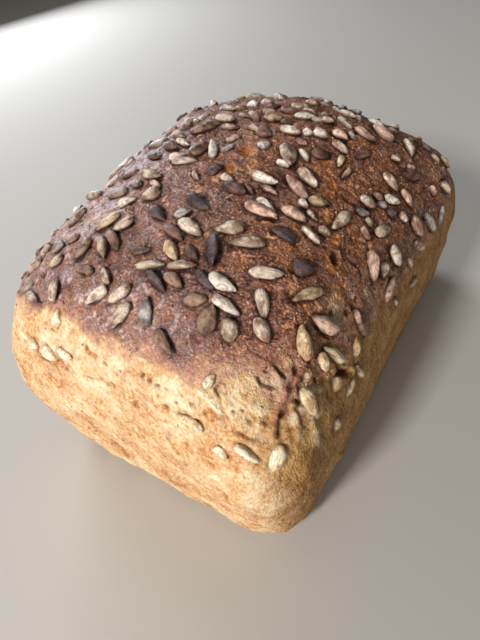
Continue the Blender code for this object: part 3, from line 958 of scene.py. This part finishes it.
class Tree:
    """A small helper round a material's node tree. Values may be numbers, colours or another node's output."""

    def __init__(self, name):
        self.material = bpy.data.materials.new(name)
        self.material.use_nodes = True
        self.tree = self.material.node_tree
        self.shader = self.tree.nodes["Principled BSDF"]

    def put(self, socket, value):
        if isinstance(value, bpy.types.NodeSocket):
            self.tree.links.new(value, socket)
        elif isinstance(value, (tuple, list, np.ndarray)):
            value = [float(k) for k in value]
            if socket.type == "RGBA" and len(value) == 3:
                value = value + [1.0]
            socket.default_value = value
        else:
            socket.default_value = value

    def node(self, kind, settings=None, **inputs):
        n = self.tree.nodes.new(kind)
        for key, value in (settings or {}).items():
            setattr(n, key, value)
        for key, value in inputs.items():
            self.put(n.inputs[int(key[1:]) if key[0] == "i" and key[1:].isdigit() else key.replace("_", " ")], value)
        return n

    def math(self, operation, a, b=0.0, c=0.0, clamp=False):
        n = self.node("ShaderNodeMath", {"operation": operation, "use_clamp": clamp}, i0=a, i1=b, i2=c)
        return n.outputs[0]

    def mix(self, factor, a, b, blend="MIX"):
        n = self.node("ShaderNodeMix", {"data_type": "RGBA", "blend_type": blend, "clamp_factor": True}, i0=factor, i6=a, i7=b)
        return n.outputs[2]

    def mask(self, name):
        return self.node("ShaderNodeAttribute", {"attribute_name": name}).outputs["Fac"]

    def ramp(self, value, stops, interpolation="LINEAR"):
        n = self.node("ShaderNodeValToRGB", Fac=value)
        n.color_ramp.interpolation = interpolation
        while len(n.color_ramp.elements) > 1:
            n.color_ramp.elements.remove(n.color_ramp.elements[-1])
        for k, (at, colour) in enumerate(stops):
            e = n.color_ramp.elements[0] if k == 0 else n.color_ramp.elements.new(at)
            e.position = at
            colour = [colour] * 3 if isinstance(colour, (int, float)) else linear(colour)
            e.color = (*[float(c) for c in colour], 1.0)
        return n.outputs["Color"]

    def noise(self, where, size_mm, detail=3.0, rough=0.5, distortion=0.0):
        n = self.node("ShaderNodeTexNoise", {"noise_dimensions": "3D"}, Vector=where, Scale=1000.0 / size_mm, Detail=detail,
                      Roughness=rough, Distortion=distortion)
        return n.outputs["Fac"]

    def step(self, value, low, high):
        n = self.node("ShaderNodeMapRange", {"interpolation_type": "SMOOTHSTEP", "clamp": True}, i0=value, i1=low, i2=high,
                      i3=0.0, i4=1.0)
        return n.outputs[0]


def crust_finish():
    t = Tree("crust")
    where = t.node("ShaderNodeTexCoord").outputs["Object"]
    flat = t.node("ShaderNodeMapping", {"vector_type": "POINT"}, Vector=where, Scale=(0.75, 0.75, 1.0)).outputs[0]
    upright = t.node("ShaderNodeMapping", {"vector_type": "POINT"}, Vector=where, Scale=(1.15, 1.15, 0.74)).outputs[0]
    toast_m, painted_crevice_shade_m, torn_dough_and_light_m, glaze_m = t.mask("toast"), t.mask("deep"), t.mask("raw"), t.mask("glaze")
    red_m, stretched_m, painted_sheen_m = t.mask("red"), t.mask("stretched"), t.mask("bloom")
    painted_contact_shade_m, painted_recess_shade_m, streak_m, shaded_m = t.mask("contact"), t.mask("hollow"), t.mask("streaks"), t.mask("shaded")
    patch = t.noise(where, 14, 3)
    mid = t.noise(where, 4.5, 4, 0.55)
    fine = t.noise(where, 1.6, 4, 0.6)
    tiny = t.noise(where, 0.55, 3, 0.6)
    layers = t.noise(flat, 2.4, 4, 0.6)
    wall_mid = t.noise(upright, 4.6, 4, 0.6)
    wall_fine = t.noise(upright, 1.5, 4, 0.65)
    swirl = t.node("ShaderNodeVectorMath", {"operation": "MULTIPLY_ADD"}, i0=t.node(
        "ShaderNodeTexNoise", Vector=where, Scale=1000 / 2.2, Detail=2.0).outputs["Color"], i1=(0.0011, 0.0011, 0.0011), i2=where)
    crumb = t.node("ShaderNodeTexVoronoi", {"voronoi_dimensions": "3D", "feature": "SMOOTH_F1"}, Vector=swirl.outputs[0],
                   Scale=1000 / 1.25, Smoothness=0.35).outputs["Distance"]

    # pale walls: cream to gold, with orange-tan patches, and painted shade darkening the gaps of the crumb
    low = t.math("ADD", t.math("MULTIPLY", patch, 0.38), t.math("MULTIPLY", layers, 0.05))
    low = t.math("ADD", low, t.math("MULTIPLY", wall_fine, 0.26))
    low = t.math("ADD", low, t.math("MULTIPLY", wall_mid, 0.31))
    low = t.math("ADD", low, t.math("MULTIPLY", t.math("SUBTRACT", streak_m, 0.5), 0.02))
    low = t.math("SUBTRACT", low, t.math("MULTIPLY", t.math("SUBTRACT", crumb, 0.45), 0.14))
    walls_c = t.ramp(low, ((0.38, (180, 112, 64)), (0.44, (212, 150, 96)), (0.49, (228, 184, 132)), (0.54, (236, 206, 160)),
                           (0.61, (248, 234, 200))))
    # dark top: mahogany and orange-brown, very mixed, with painted shade in the crumb's gaps
    high = t.math("ADD", t.math("MULTIPLY", mid, 0.38), t.math("MULTIPLY", fine, 0.50))
    high = t.math("ADD", high, t.math("MULTIPLY", patch, 0.12))
    high = t.math("SUBTRACT", high, t.math("MULTIPLY", t.math("SUBTRACT", crumb, 0.45), 0.10))
    top_c = t.ramp(high, ((0.42, (20, 9, 7)), (0.475, (62, 29, 21)), (0.525, (122, 64, 43)), (0.565, (184, 116, 84)),
                          (0.62, (234, 182, 144))))
    mottle = t.noise(where, 6.5, 3, 0.6)
    top_c = t.mix(1.0, top_c, t.ramp(mottle, ((0.36, (168, 160, 160)), (0.50, (232, 228, 226)), (0.62, (255, 255, 255)))), "MULTIPLY")
    loose = t.ramp(high, ((0.40, (72, 34, 16)), (0.46, (146, 78, 36)), (0.53, (206, 130, 70)), (0.61, (242, 190, 130))))
    top_c = t.mix(t.math("MULTIPLY", stretched_m, t.step(mid, 0.36, 0.60)), top_c, loose)
    # painted sheen: the grey-purple reflection mixed over the top's left and near parts
    sheen_amount = t.math("MULTIPLY", painted_sheen_m, t.step(t.math("ADD", t.math("MULTIPLY", fine, 0.35), mid), 0.44, 0.80))
    top_c = t.mix(t.math("MULTIPLY", sheen_amount, 0.74), top_c, t.ramp(high, ((0.41, (98, 82, 96)), (0.50, (166, 140, 148)), (0.59, (226, 198, 188)))))

    # from one to the other through orange and red-brown, with ragged edges
    level = t.math("ADD", toast_m, t.math("MULTIPLY", t.math("SUBTRACT", mid, 0.5), 1.9))
    level = t.math("ADD", level, t.math("MULTIPLY", t.math("SUBTRACT", fine, 0.5), 1.7))
    level = t.math("ADD", level, t.math("MULTIPLY", t.math("SUBTRACT", tiny, 0.5), 0.7))
    between = t.ramp(level, ((0.10, (240, 204, 158)), (0.34, (230, 184, 148)), (0.58, (218, 168, 144)), (0.90, (202, 152, 134))))
    between = t.mix(1.0, between, t.ramp(high, ((0.40, (186, 160, 150)), (0.50, (240, 236, 232)), (0.60, (255, 255, 255)))), "MULTIPLY")
    between = t.mix(t.step(high, 0.53, 0.64), between, linear((238, 200, 158)))
    colour = t.mix(t.step(level, 0.10, 0.34), walls_c, between)
    colour = t.mix(t.step(level, 0.76, 1.03), colour, top_c)
    # painted shade: the right wall, and a little of the far wall, turned darker olive-gold below the dark crust
    shadow_side = t.math("MULTIPLY", shaded_m, t.math("SUBTRACT", 1.0, t.step(level, 0.3, 0.8)))
    colour = t.mix(t.math("MULTIPLY", shadow_side, 0.84), colour, t.ramp(low, ((0.42, (138, 88, 32)), (0.58, (190, 138, 60)))))

    # specks of bran and grit: pale on the dark crust, brown on the pale walls
    speck = t.node("ShaderNodeTexVoronoi", {"voronoi_dimensions": "3D", "feature": "F1"}, Vector=where, Scale=1000 / 0.95,
                   Randomness=1.0)
    chosen = t.node("ShaderNodeSeparateColor", Color=speck.outputs["Color"])
    small = t.math("SUBTRACT", 1.0, t.step(speck.outputs["Distance"], 0.16, 0.40))
    pale_speck = t.math("MULTIPLY", small, t.step(chosen.outputs[0], 0.70, 0.86))
    brown_speck = t.math("MULTIPLY", small, t.step(chosen.outputs[1], 0.78, 0.90))
    dark_here = t.step(level, 0.40, 0.95)
    colour = t.mix(t.math("MULTIPLY", t.math("MULTIPLY", pale_speck, dark_here), 0.62), colour, linear((226, 190, 156)))
    colour = t.mix(t.math("MULTIPLY", t.math("MULTIPLY", brown_speck, t.math("SUBTRACT", 1.0, dark_here)), 0.30), colour,
                   linear((160, 104, 56)))
    powder = t.step(tiny, 0.52, 0.68)
    colour = t.mix(t.math("MULTIPLY", t.math("MULTIPLY", powder, dark_here), 0.20), colour, linear((212, 172, 144)))
    colour = t.mix(t.math("MULTIPLY", t.math("MULTIPLY", powder, t.math("SUBTRACT", 1.0, dark_here)), 0.35), colour,
                   linear((255, 236, 196)))

    # torn dough and a painted light patch at the near corner, red ridges, thin amber skins, and painted shade in holes
    colour = t.mix(t.math("MULTIPLY", torn_dough_and_light_m, t.step(mid, 0.30, 0.55)), colour, linear((255, 240, 206)))
    colour = t.mix(t.math("MULTIPLY", red_m, t.step(fine, 0.25, 0.50)), colour, linear((150, 78, 62)))
    amber = t.ramp(fine, ((0.35, (132, 66, 22)), (0.58, (224, 146, 66))))
    colour = t.mix(glaze_m, colour, amber)
    # painted shade colour for holes, cracks and creases: brown on the walls, near black on top
    brown = t.mix(dark_here, linear((96, 56, 28)), linear((28, 16, 13)))
    colour = t.mix(t.math("MULTIPLY", painted_crevice_shade_m, 0.85), colour, brown)
    # painted shade in recesses
    hollow = t.math("MULTIPLY", painted_recess_shade_m, 0.45)
    colour = t.mix(hollow, colour, t.mix(1.0, colour, linear((196, 150, 120)), "MULTIPLY"))
    # painted shade round the kernels' bases
    colour = t.mix(t.math("MULTIPLY", painted_contact_shade_m, 0.9), colour, t.mix(1.0, colour, linear((98, 70, 60)), "MULTIPLY"))
    t.put(t.shader.inputs["Base Color"], colour)

    rough = t.math("SUBTRACT", 0.80, t.math("MULTIPLY", dark_here, 0.37))
    rough = t.math("ADD", rough, t.math("MULTIPLY", t.math("SUBTRACT", fine, 0.5), t.math("ADD", 0.3, t.math("MULTIPLY", dark_here, 0.5))))
    rough = t.math("SUBTRACT", rough, t.math("MULTIPLY", glaze_m, 0.35), clamp=True)
    t.put(t.shader.inputs["Roughness"], rough)
    t.shader.inputs["Specular IOR Level"].default_value = 0.36

    # crumbly on the walls, grainy and finely wrinkled on top
    grain = t.math("ADD", t.math("MULTIPLY", fine, t.math("ADD", 0.05, t.math("MULTIPLY", dark_here, 0.60))), t.math("MULTIPLY", tiny, 0.24))
    grain = t.math("ADD", grain, t.math("MULTIPLY", wall_fine, t.math("SUBTRACT", 1.25, t.math("MULTIPLY", dark_here, 1.25))))
    grain = t.math("ADD", grain, t.math("MULTIPLY", layers, t.math("SUBTRACT", 0.20, t.math("MULTIPLY", dark_here, 0.10))))
    grain = t.math("ADD", grain, t.math("MULTIPLY", mid, 0.55))
    grain = t.math("SUBTRACT", grain, t.math("MULTIPLY", crumb, t.math("ADD", 0.24, t.math("MULTIPLY", dark_here, 0.22))))
    grain = t.math("ADD", grain, t.math("MULTIPLY", pale_speck, t.math("MULTIPLY", dark_here, 0.16)))
    bump = t.node("ShaderNodeBump", Strength=1.0, Distance=0.00095, Height=grain)
    t.put(t.shader.inputs["Normal"], bump.outputs["Normal"])
    return t.material


def kernel_finish():
    t = Tree("kernels")
    tint = t.node("ShaderNodeAttribute", {"attribute_name": "tint"}).outputs["Color"]
    local = t.node("ShaderNodeAttribute", {"attribute_name": "local"}).outputs["Vector"]
    slit = t.mask("slit")
    fibre_at = t.node("ShaderNodeMapping", {"vector_type": "POINT"}, Vector=local, Scale=(0.30, 1.2, 1.0)).outputs[0]
    fibre = t.node("ShaderNodeTexNoise", Vector=fibre_at, Scale=1.6, Detail=4.0, Roughness=0.6).outputs["Fac"]
    blotch = t.node("ShaderNodeTexNoise", Vector=local, Scale=0.75, Detail=4.0, Roughness=0.6).outputs["Fac"]
    dust = t.node("ShaderNodeTexNoise", Vector=local, Scale=3.2, Detail=2.0, Roughness=0.5).outputs["Fac"]
    colour = t.mix(t.step(fibre, 0.42, 0.72), tint, t.mix(1.0, tint, linear((222, 204, 188)), "MULTIPLY"))
    colour = t.mix(t.math("MULTIPLY", t.step(blotch, 0.50, 0.66), 0.66), colour, t.mix(1.0, tint, linear((160, 118, 92)), "MULTIPLY"))
    colour = t.mix(t.math("MULTIPLY", t.step(dust, 0.60, 0.78), 0.28), colour, linear((226, 212, 190)))
    # painted shade in the slit's groove, and a broken end darkened the same way
    colour = t.mix(t.math("MULTIPLY", slit, 0.8), colour, linear((48, 30, 24)))
    t.put(t.shader.inputs["Base Color"], colour)
    t.put(t.shader.inputs["Roughness"], t.math("ADD", 0.20, t.math("MULTIPLY", blotch, 0.34)))
    t.shader.inputs["Specular IOR Level"].default_value = 0.55
    height = t.math("ADD", t.math("MULTIPLY", fibre, 1.0), t.math("MULTIPLY", dust, 0.30))
    height = t.math("ADD", height, t.math("MULTIPLY", blotch, 0.8))
    bump = t.node("ShaderNodeBump", Strength=1.0, Distance=0.00042, Height=height)
    t.put(t.shader.inputs["Normal"], bump.outputs["Normal"])
    return t.material


def flake_finish():
    t = Tree("bran")
    tint = t.node("ShaderNodeAttribute", {"attribute_name": "tint"}).outputs["Color"]
    where = t.node("ShaderNodeTexCoord").outputs["Object"]
    spot = t.noise(where, 0.35, 2)
    t.put(t.shader.inputs["Base Color"], t.mix(t.step(spot, 0.35, 0.7), tint, t.mix(1.0, tint, linear((190, 160, 130)), "MULTIPLY")))
    t.shader.inputs["Roughness"].default_value = 0.7
    return t.material


crust_material = crust_finish()
loaf_top.data.materials.append(crust_material)
loaf_sides.data.materials.append(crust_material)
seeds.data.materials.append(kernel_finish())
flakes.data.materials.append(flake_finish())

# ======================================================================================
# 8. Studio: pale floor, soft light
# ======================================================================================
floor = new_mesh("floor", [(-4, -4, 0), (4, -4, 0), (4, 4, 0), (-4, 4, 0)], [[0, 1, 2, 3]], False)
floor_finish = Tree("floor")
floor_finish.shader.inputs["Base Color"].default_value = (0.50, 0.475, 0.44, 1)
floor_finish.shader.inputs["Roughness"].default_value = 0.85
floor.data.materials.append(floor_finish.material)


def area(name, place, aim, size, power, colour):
    data = bpy.data.lights.new(name, "AREA")
    data.shape = "SQUARE"
    data.size = size
    data.energy = power
    data.color = colour
    thing = bpy.data.objects.new(name, data)
    thing.location = place
    thing.rotation_mode = "QUATERNION"
    thing.rotation_quaternion = (Vector(place) - Vector(aim)).to_track_quat("Z", "Y")
    bpy.context.scene.collection.objects.link(thing)
    return thing


area("key", (-0.08, -1.12, 0.82), (0, 0, 0.05), 0.22, 15.2, (1.0, 0.975, 0.94))
area("fill", (0.36, -1.22, 0.26), (0.02, 0, 0.03), 0.5, 6.0, (1.0, 0.96, 0.89))
area("sky", (-1.1, 0.50, 0.52), (0, 0, 0.09), 0.7, 14.5, (0.88, 0.93, 1.0))
area("overhead", (0.15, 0.05, 1.35), (0, 0, 0.05), 0.9, 1.6, (1.0, 0.97, 0.94))
world = bpy.data.worlds.new("world")
world.use_nodes = True
world.node_tree.nodes["Background"].inputs["Color"].default_value = (1.0, 0.97, 0.92, 1)
world.node_tree.nodes["Background"].inputs["Strength"].default_value = 0.072
bpy.context.scene.world = world
bpy.context.scene.view_settings.view_transform = "Standard"
